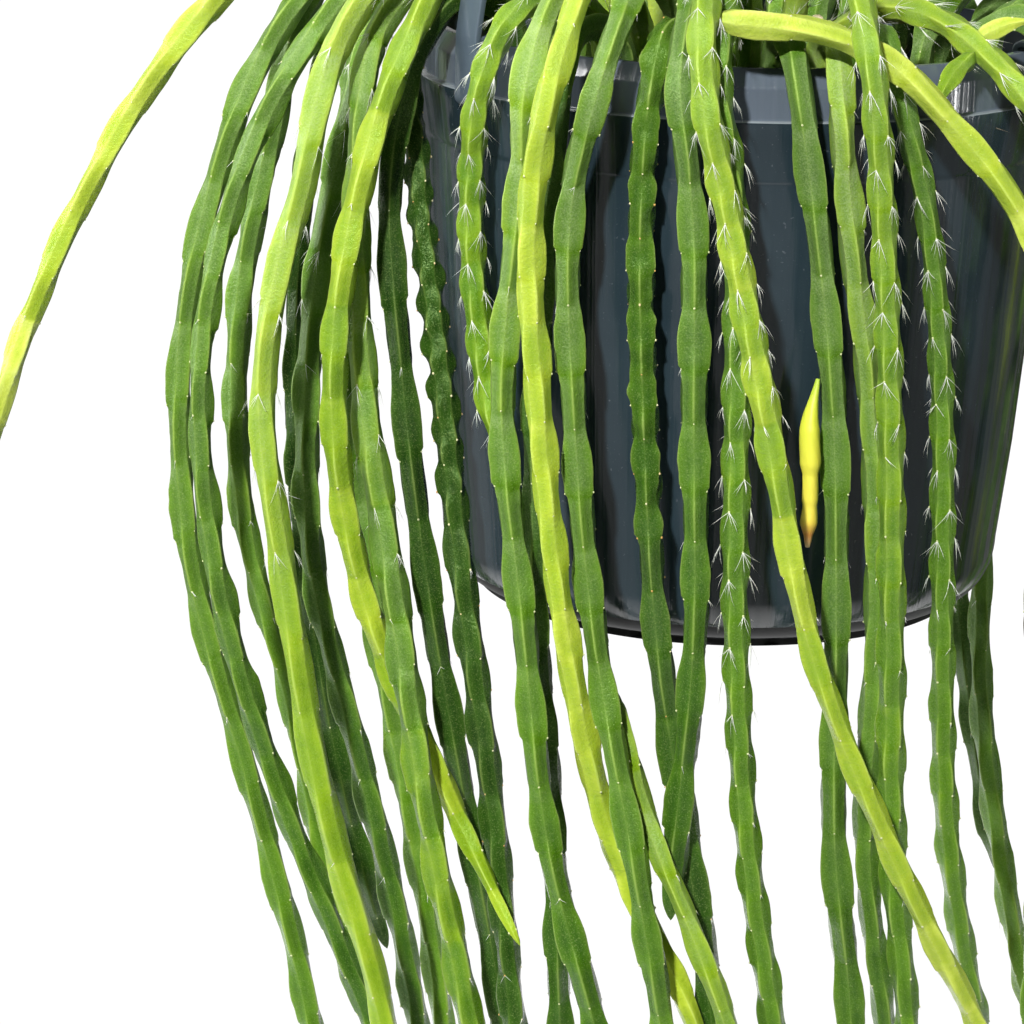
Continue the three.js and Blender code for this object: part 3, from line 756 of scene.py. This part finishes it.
# Each stem's upper and lower kind, the share of its length where they change, its green at the root and
# at the tip, from 0, dark, to 1, lime, the turn of its front rib away from the camera, in degrees, its
# joints' length as a multiple of its kind's, and the height of one of its cushions above the pot's foot,
# in millimetres
STEM_LOOKS = {
    "left_stem_1": ("slender", "slender", 0.5, 0.92, 0.97, 24, 1.0, 90),
    "left_stem_2": ("chain", "chain", 0.5, 0.58, 0.46, 26, 1.25, 66.6),
    "left_stem_3": ("chain", "chain", 0.5, 0.62, 0.30, -28, 0.9, 58.1),
    "left_stem_4": ("chain", "chain", 0.5, 0.34, 0.60, 30, 1.0, 72),
    "left_stem_5": ("tufted", "young", 0.62, 0.88, 0.74, 26, 1.35, 56.8),
    "left_stem_6": ("chain", "chain", 0.5, 0.10, 0.14, 0, 1.0, 50),
    "left_stem_7": ("tufted", "chain", 0.45, 0.56, 0.28, 18, 0.95, 83.7),
    "left_stem_8": ("young", "young", 0.5, 0.76, 0.82, 16, 0.75, 77.3),
    "left_stem_9": ("tufted", "chain", 0.55, 0.61, 0.58, 28, 0.95, 29.7),
    "left_stem_10": ("chain", "chain", 0.5, 0.44, 0.54, 28, 1.08, 74.1),
    "left_stem_11": ("chain", "chain", 0.5, 0.14, 0.20, 0, 1.33, 60),
    "left_stem_12": ("bumpy", "chain", 0.46, 0.15, 0.20, 30, 0.85, 5.3),
    "front_stem_1": ("hairy", "hairy", 0.5, 0.68, 0.62, 20, 0.84, 86.9),
    "front_stem_2": ("chain", "chain", 0.5, 0.76, 0.27, 6, 1.1, 29.2),
    "front_stem_3": ("chain", "chain", 0.5, 0.34, 0.26, 10, 1.0, 40),
    "front_stem_4": ("young", "young", 0.5, 0.87, 0.92, -16, 0.8, 59.0),
    "front_stem_5": ("chain", "chain", 0.5, 0.56, 0.44, 6, 1.05, 83.1),
    "front_stem_6": ("bumpy", "chain", 0.46, 0.46, 0.16, 8, 1.25, 97.7),
    "front_stem_7": ("chain", "chain", 0.5, 0.52, 0.30, 2, 1.04, 85.4),
    "front_stem_8": ("hairy", "slender", 0.48, 0.62, 0.97, 16, 1.0, 61.9),
    "front_stem_9": ("hairy", "plain", 0.62, 0.58, 0.42, 28, 1.03, 56.5),
    "front_stem_10": ("chain", "chain", 0.5, 0.48, 0.40, 0, 1.27, 91.4),
    "front_stem_11": ("chain", "chain", 0.5, 0.78, 0.34, -20, 1.0, 64),
    "front_stem_12": ("hairy", "plain", 0.5, 0.80, 0.42, 24, 1.1, 117),
    "front_stem_13": ("hairy", "plain", 0.58, 0.48, 0.50, 28, 1.1, 60.9),
    "right_stem_1": ("hairy", "hairy", 0.5, 0.84, 0.70, 20, 1.0, 110),
    "right_stem_3": ("hairy", "chain", 0.5, 0.55, 0.5, 20, 1.0, 60),
    "right_stem_6": ("young", "young", 0.5, 0.8, 0.95, 0, 1.0, 60),
    "right_stem_8": ("hairy", "hairy", 0.5, 0.55, 0.45, 0, 1.0, 60),
    "right_stem_9": ("chain", "chain", 0.5, 0.34, 0.55, 30, 1.0, 60),
    "back_stem_1": ("chain", "chain", 0.5, 0.26, 0.26, 0, 1.0, 60),
    "back_stem_4": ("hairy", "hairy", 0.5, 0.55, 0.5, 0, 1.0, 60),
    "back_stem_8": ("young", "young", 0.5, 0.75, 0.9, 0, 1.0, 60),
}
OTHER_STEMS = ("chain", "chain", 0.5, 0.45, 0.40, 0, 1.0, 50)


def cad_route(name):
    """The centre line of a CAD stem, from its root to its tip. The CAD stem is a six-sided bar: corners
    that its short edges join are a ring, and the line goes through the rings' centres in turn."""
    mesh = frame["nodes"][name].data
    corners = np.empty(len(mesh.vertices) * 3)
    mesh.vertices.foreach_get("co", corners)
    corners, merged_to = np.unique(corners.reshape(-1, 3), axis=0, return_inverse=True)
    edges = np.empty(len(mesh.edges) * 2, np.int64)
    mesh.edges.foreach_get("vertices", edges)
    edges = merged_to.ravel()[edges].reshape(-1, 2)
    length = np.linalg.norm(corners[edges[:, 0]] - corners[edges[:, 1]], axis=1)
    short = edges[length < 1.2 * np.min(length[length > 1e-6])]
    ring = np.arange(len(corners))
    for _ in range(RIBS):
        lowest = np.minimum(ring[short[:, 0]], ring[short[:, 1]])
        np.minimum.at(ring, short[:, 0], lowest)
        np.minimum.at(ring, short[:, 1], lowest)
    ring = np.unique(ring, return_inverse=True)[1].ravel()
    centres = np.array([corners[ring == k].mean(0) for k in range(ring.max() + 1)])
    joined = np.zeros((len(centres), len(centres)), bool)
    joined[ring[edges[:, 0]], ring[edges[:, 1]]] = True
    joined |= joined.T
    np.fill_diagonal(joined, False)
    ends = np.flatnonzero(joined.sum(1) == 1)
    soil_middle = np.array([0, 0, pot_foot + SOIL_TOP * MM])
    order = [ends[np.argmin(np.linalg.norm(centres[ends] - soil_middle, axis=1))]]
    while len(order) < len(centres):
        order.append(next(k for k in np.flatnonzero(joined[order[-1]]) if k not in order))
    return centres[order]


def smoothstep(low, high, value):
    """Rises from 0 at low to 1 at high, with level ends."""
    t = np.clip((value - low) / (high - low), 0, 1)
    return t * t * (3 - 2 * t)


def rib_height(u):
    """How far a rib stands out, over its joint from one cushion at 0 to the next at 1: a low ridge, plus
    the last joint's end, which fades out by 0.2, plus a swelling from 0.36 to 0.74, which sinks by a
    quarter and then ends in a step."""
    sunk = (1 - 0.24 * smoothstep(0.74, 1.0, u)) * (1 - 0.66 * smoothstep(0.96, 1.0, u))
    return 0.12 + 0.28 * (1 - smoothstep(0, 0.2, u)) + 0.88 * smoothstep(0.36, 0.74, u) * sunk


def ribbed_stem(line, run, looks, scale, seed, tip_taper):
    """A stem's surface, its attributes, its cushions, and its traits at each ring. The radius is the
    core's, plus for each rib its height times a peak, exp(sharp (cos(angle) - 1)), plus a narrow crest.
    The stem thins towards its tip over tip_taper, and ends like a dome."""
    upper, lower, change, green_root, green_tip, turn_by, stretch, cushion_height = looks
    way = run / run[-1]
    late = smoothstep(change - KIND_CHANGE, change + KIND_CHANGE, way)
    amount = {trait: first * (1 - late) + second * late
              for trait, first, second in zip(TRAITS, KINDS[upper], KINDS[lower])}

    marks = [0]
    while marks[-1] < run[-1]:
        joint = np.interp(marks[-1], run, amount["joint"])
        marks.append(marks[-1] + joint * stretch * seed.uniform(SHORTEST_JOINT, LONGEST_JOINT) * MM)
    count = np.interp(run, marks, np.arange(len(marks)))
    hangs = np.arange(len(line)) > np.argmax(line[:, 2])
    known = np.argmax(hangs & (line[:, 2] < pot_foot + cushion_height * MM))
    count += 3 - count[known] % 1

    tangent, normal, across = carried_frame(line)
    middle = int(len(line) * VIEWED_SHARE)
    to_camera = camera_place - line[middle]
    facing = np.arctan2(to_camera @ across[middle], to_camera @ normal[middle]) + np.radians(turn_by)
    twist = seed.uniform(-MOST_TWIST, MOST_TWIST) * (way - VIEWED_SHARE)

    rib = np.arange(RIBS)
    column = (rib[:, None] * 2 * np.pi / RIBS + COLUMN_TURNS).ravel()
    uneven = seed.normal(0, UNEVEN_CUSHIONS, RIBS) * (rib > 0)
    phase = count[:, None] + np.where(rib % 2, SECOND_SET_SHIFT, 0) + uneven
    u = phase % 1
    height = rib_height(u)
    weak = np.where((rib % 2 == 0) & (rib > 0), 1, 0)
    height = height * (1 - weak * (1 - amount["flank"][:, None]))
    knots = np.arange(0, run[-1] + LUMP_LENGTH, LUMP_LENGTH)
    lumpy = [np.interp(run, knots, seed.normal(0, 1, len(knots))) for _ in rib]
    height = height + amount["lump"][:, None] * np.column_stack(lumpy)
    away = column[None, :] - rib[:, None] * 2 * np.pi / RIBS
    peak = np.exp(amount["sharp"][:, None, None] * (np.cos(away) - 1))
    crest = np.exp(CREST_SHARPNESS * (np.cos(away) - 1))
    swelling = (height[..., None] * peak).sum(1)
    radius = amount["core"][:, None] * (1 + amount["swell"][:, None] * swelling)
    radius += CREST_HEIGHT * ((0.5 + height[..., None]) * crest).sum(1)
    wander = np.interp(way, np.linspace(0, 1, WANDER_KNOTS), seed.normal(1, WANDER, WANDER_KNOTS))
    to_tip = (run[-1] - run) / MM
    dome = np.sqrt(np.clip(1 - (1 - np.clip(to_tip / TIP_DOME, 0.002, 1)) ** 2, 0, 1))
    dome *= 1 - TIP_THINNING * (1 - np.clip(to_tip / tip_taper, 0, 1)) ** 1.3
    from_root = smoothstep(0, min(ROOT_TAPER, 0.1 * run[-1]), run)
    dome *= 1 - ROOT_THINNING + ROOT_THINNING * from_root
    radius = radius * (wander * dome)[:, None] * scale * MM

    angle = facing + twist[:, None] + column
    out = normal[:, None] * np.cos(angle)[..., None] + across[:, None] * np.sin(angle)[..., None]
    rings = line[:, None] + out * radius[..., None]
    vertices = np.vstack([rings.reshape(-1, 3), line[:1], line[-1:] + tangent[-1:] * 0.1 * MM])

    shield = smoothstep(0, 0.05, u) * (1 - smoothstep(0.44, 0.60, u))
    facet = np.clip(np.cos(away), 0, 1) ** 2.5
    green = green_root + (green_tip - green_root) * way
    paler = np.clip(1.6 * green - 0.15, 0.05, 1)
    frost_here = amount["frost"] * paler * np.clip(1.5 - 1.65 * way, 0.15, 1.1)
    frost = (shield[..., None] * facet).sum(1) * frost_here[:, None]
    # Painted highlight: each crest is marked for a paler green, stronger where its rib stands higher and
    # on paler stems, standing in for light catching the ridges.
    crest_highlight = (crest ** 2 * (0.12 + 0.88 * height[..., None])).sum(1) * (0.35 + 0.65 * paler[:, None])
    green = green + seed.normal(0, amount["tone"].mean(), len(marks) + 4)[count.astype(int)]
    # Painted shade: the green darkens where the ribs stand low, and most in the valley columns between
    # them, as shade in the creases. The necks are also a little darker in their own tone.
    hollow_shade = 1 - smoothstep(0.10, 0.55, swelling)
    neck = smoothstep(0.44, 0.70, u) * (1 - smoothstep(0.90, 1.0, u))
    neck = (neck[..., None] * facet).sum(1) / facet.sum(0)
    shade_and_neck_tone = 0.05 * hollow_shade + 0.03 * neck + 0.11 * VALLEY_SHADE * (0.3 + 0.7 * neck)
    green = GREEN_SPAN * (green[:, None] - shade_and_neck_tone)
    attributes = {"green": np.append(green.ravel(), green[[0, -1], 0]),
                  "frost": np.append(frost.ravel(), [0, 0]),
                  "crest": np.append(crest_highlight.ravel(), [0, 0])}

    cushions = []
    rows = len(line)
    for k in rib:
        places = np.arange(np.ceil(phase[0, k]), phase[-1, k])
        at = np.interp(places - phase[0, k] + count[0], count, np.arange(rows))
        index = at[(run[at.astype(int)] > LOWEST_CUSHION) & (at < rows - 4)].astype(int)
        outward = out[index, k * len(COLUMN_TURNS)]
        reach = radius[index, k * len(COLUMN_TURNS)]
        cushions.append((line[index] + outward * reach[:, None], outward, tangent[index], index))
    cushions = [np.concatenate(part) for part in zip(*cushions)]
    return (vertices, *closed_grid(rows, COLUMNS)), attributes, cushions, amount


def cushion_beads(place, outward, along, size):
    """Small woolly cushions: flattened six-sided domes, longer along the stem than across. The lower ring
    is sunk by 0.3 of the size. The upper one is 0.6 as wide, at a height of 0.55, and the top at 0.8."""
    size = size[:, None, None]
    up = outward[:, None]
    turn = np.arange(BEAD_SIDES) * np.pi / 3
    side = np.cross(outward, along)
    rim = along[:, None] * np.cos(turn)[:, None] * BEAD_LENGTH + side[:, None] * np.sin(turn)[:, None]
    low = place[:, None] + rim * size - up * size * 0.3
    high = place[:, None] + rim * size * 0.6 + up * size * 0.55
    top = place[:, None] + up * size * 0.8
    vertices = np.concatenate([low, high, top], 1)
    first = (np.arange(len(place)) * vertices.shape[1])[:, None, None]
    quads = first + grid_faces(2, BEAD_SIDES)[:, ::-1]
    caps = first + end_faces(BEAD_SIDES, BEAD_SIDES, 2 * BEAD_SIDES, True)
    return vertices.reshape(-1, 3), quads.reshape(-1, 4), caps.reshape(-1, 3)


def fanned(place, outward, along, index, amount, seed):
    """The bristles of a stem's cushions. They fan out across it, lean outwards and point down it."""
    bristly = seed.uniform(0, 1, len(index)) < amount["hairy"][index]
    wanted = np.where(bristly, np.round(amount["hairs"][index] + seed.normal(0, 1.1, len(index))), 0)
    of = np.repeat(np.arange(len(index)), np.clip(wanted.astype(int), 0, MOST_BRISTLES))
    up, down_stem = outward[of], along[of]
    side = np.cross(up, down_stem)
    spread = seed.normal(0, 0.6, (len(of), 1))
    lift = np.abs(seed.normal(0.34, 0.22, (len(of), 1)))
    heading = unit(down_stem + up * lift + side * spread)
    bend = down_stem * seed.normal(0.06, 0.10, (len(of), 1))
    bend = bend - up * seed.uniform(0.05, 0.30, (len(of), 1))
    bend = bend + side * seed.normal(0, 0.14, (len(of), 1))
    length = amount["hair"][index[of]] * seed.uniform(0.55, 1.25, len(of)) * MM
    return bristles(place[of], heading, bend, length, BRISTLE_RADIUS)


def painted(tree, name):
    """The value here of one of the mesh's attributes."""
    return node(tree, "Attribute", attribute_name=name).outputs["Fac"]


stem_skin, tree, shader = finish("stem_skin", Specular_IOR_Level=0.32, Specular_Tint=(0.62, 0.9, 0.36))
patches = rescaled(tree, noise(tree, 110, 5, roughness=0.72), (0.25, 0.75), (-0.07, 0.07))
# The green attribute also carries the painted shade of the creases.
skin_green = ramp(tree, calculated(tree, "ADD", painted(tree, "green"), patches), [
    (0.0, (0.008, 0.034, 0.003)), (0.2, (0.026, 0.088, 0.003)), (0.4, (0.080, 0.195, 0.003)),
    (0.576, (0.215, 0.355, 0.006)), (0.72, (0.385, 0.500, 0.026)), (0.8, (0.560, 0.655, 0.080)),
    (1.0, (0.700, 0.765, 0.290))])
speckle = ramp(tree, noise(tree, 2600, 2), [(0.40, 0.45), (0.62, 1.0)])
frost_share = calculated(tree, "MULTIPLY", painted(tree, "frost"), speckle)
pale_green = blend(tree, 0.55, skin_green, (0.38, 0.48, 0.24))
frosted = blend(tree, frost_share, skin_green, pale_green)
# Painted highlight: a paler green along the crests, from the crest attribute.
crest_highlight_share = calculated(tree, "MULTIPLY", painted(tree, "crest"), 0.68)
highlight_green = blend(tree, 0.55, skin_green, (0.66, 0.80, 0.24))
highlighted = blend(tree, crest_highlight_share, frosted, highlight_green)
fine_spots = ramp(tree, noise(tree, 3400, 2), [(0.54, 0.0), (0.70, 0.16)])
given(shader, Base_Color=blend(tree, fine_spots, highlighted, (0.50, 0.62, 0.20)),
      Roughness=ramp(tree, frost_share, [(0.0, 0.26), (1.0, 0.48)]))
bumped(tree, shader, noise(tree, 1300, 3, roughness=0.7), 0.8, 0.0003)

white_bristle, _, _ = finish("white_bristle", Base_Color=(0.86, 0.88, 0.80), Roughness=0.45)
woolly_cushion, tree, shader = finish("woolly_cushion", Base_Color=(0.62, 0.66, 0.34), Roughness=0.8)
bumped(tree, shader, noise(tree, 3000, 2), 0.5, 0.0002)
corky_cushion, tree, shader = finish("corky_cushion", Roughness=0.8)
given(shader, Base_Color=ramp(tree, noise(tree, 200, 1), [
    (0.42, (0.62, 0.36, 0.10)), (0.55, (0.82, 0.78, 0.45))]))


def grow(name, line, run, looks, scale, seed, tip_taper):
    """Makes one stem with its cushions and bristles, as one piece in place of its CAD node."""
    surface, attributes, cushions, amount = ribbed_stem(line, run, looks, scale, seed, tip_taper)
    place, outward, along, index = cushions
    beads = cushion_beads(place, outward, along, seed.uniform(0.16, 0.28, len(place)) * MM)
    hairs = fanned(place, outward, along, index, amount, seed)
    vertices, groups = merged((*surface, 0), (*beads, 1), (*hairs, 2))
    attributes = {key: np.append(value, np.zeros(len(vertices) - len(value)))
                  for key, value in attributes.items()}
    cushion = corky_cushion if looks[0] == "bumpy" else woolly_cushion
    stem = add_piece(name + "_grown", vertices, groups, [stem_skin, cushion, white_bristle], attributes)
    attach(stem, "root")
    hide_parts(name)


slots = {row["node"]: row["material_slot"] for row in frame["record"]["subparts"]}
stem_names = sorted(name for name in frame["nodes"] if "_stem_" in name)
for number, name in enumerate(stem_names):
    seed = np.random.default_rng(100 + number)
    seen_close = name.startswith(("left", "front"))
    run, line = smooth_line(cad_route(name), RING_SPACING if seen_close else FAR_SPACING)
    tip_taper = YOUNG_TIP_TAPER if slots[name] == "young_stem_skin" else OLD_TIP_TAPER
    grow(name, line, run, STEM_LOOKS.get(name, OTHER_STEMS), seed.uniform(0.96, 1.06), seed, tip_taper)

# Side shoots
# A young lime stem that crosses the rim, a thin shoot and a bud on the bristly stem at the right, and a
# bright side stem low on a front one. Each narrows to a short neck that goes into its parent.

# Each shoot's looks, as a stem's, its width as a multiple of its kind's, and the lengths of its thinning
# tip and of its neck, in millimetres
SHOOTS = {
    "crossing_shoot": (("young", "young", 0.5, 0.97, 1.02, 0, 1.0, 125), 0.95, 24, 6),
    "young_shoot": (("young", "young", 0.5, 0.62, 0.66, 0, 0.6, 125), 0.70, 12, 1.5),
    "young_bud": (("young", "young", 0.5, 1.02, 1.05, 0, 0.6, 125), 0.66, 9, 1.5),
    "side_stem": (("plain", "plain", 0.5, 0.66, 0.80, 16, 1.5, 0), 0.88, 24, 4),
}
for number, (name, (looks, scale, tip_taper, neck_length)) in enumerate(SHOOTS.items()):
    route = cad_route(name)
    neck = unit(route[0] - route[1]) * neck_length * MM
    run, line = smooth_line(np.vstack([route[0] + neck, route]), RING_SPACING)
    grow(name, line, run, looks, scale, np.random.default_rng(200 + number), tip_taper)

# Withered shoot and dry stub
# A small side shoot that has turned yellow, with a brown dead tip, and the short dry end of an old cut
# stem in the soil, with a pale cut face.
DRY_COLUMNS = 24
WITHERED_SHARES = [0, 0.1, 0.3, 0.5, 0.56, 0.72, 0.75, 0.86, 0.93, 0.97, 1]
WITHERED_RADII = [0.45, 0.9, 2.2, 2.3, 1.7, 1.75, 1.55, 1.9, 1.0, 0.75, 0.5]
STUB_SHARES = [0, 0.3, 0.7, 0.9, 1]
STUB_RADII = [1.5, 1.3, 1.35, 1.6, 1.35]

withered_skin, tree, shader = finish("withered_skin", Roughness=0.5, Subsurface_Weight=0.15,
                                     Subsurface_Radius=(0.002, 0.0016, 0.0004))
given(shader, Base_Color=ramp(tree, painted(tree, "along"), [
    (0.0, (0.42, 0.58, 0.05)), (0.2, (0.66, 0.72, 0.05)), (0.82, (0.74, 0.62, 0.07)),
    (0.92, (0.42, 0.17, 0.02)), (1.0, (0.55, 0.40, 0.18))]))
bumped(tree, shader, noise(tree, 700, 3), 0.25, 0.0003)
dry_bark, tree, shader = finish("dry_bark", Roughness=0.85)
given(shader, Base_Color=ramp(tree, painted(tree, "along"), [
    (0.0, (0.10, 0.055, 0.02)), (0.8, (0.33, 0.18, 0.07)), (0.93, (0.42, 0.2, 0.07)),
    (0.97, (0.78, 0.66, 0.42))]))
drawn_out = node(tree, "Mapping", Vector=own_place(tree), Scale=(1, 1, 0.3)).outputs[0]
bumped(tree, shader, noise(tree, 800, 4, drawn_out), 0.8, 0.0006)

turn = np.linspace(0, 2 * np.pi, DRY_COLUMNS, endpoint=False)
for name, shares, radii, look, slot in (
        ("withered_shoot", WITHERED_SHARES, WITHERED_RADII, withered_skin, "withered_skin"),
        ("dry_stub", STUB_SHARES, STUB_RADII, dry_bark, "dry_wood")):
    run, line = smooth_line(cad_route(name), 0.5 * MM)
    way = run / run[-1]
    wrinkle = 1 + 0.06 * np.cos(3 * turn) + 0.02 * np.cos(7 * turn + 40 * way[:, None])
    radius = np.interp(way, shares, radii)[:, None] * wrinkle * MM
    vertices, quads, fans = swept(line, radius, turn)
    along = np.append(np.repeat(way, DRY_COLUMNS), [0, 1])
    piece = add_piece(name + "_grown", vertices, [(quads, 0), (fans, 0)], [look], {"along": along})
    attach(piece, "root")
    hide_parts(name)
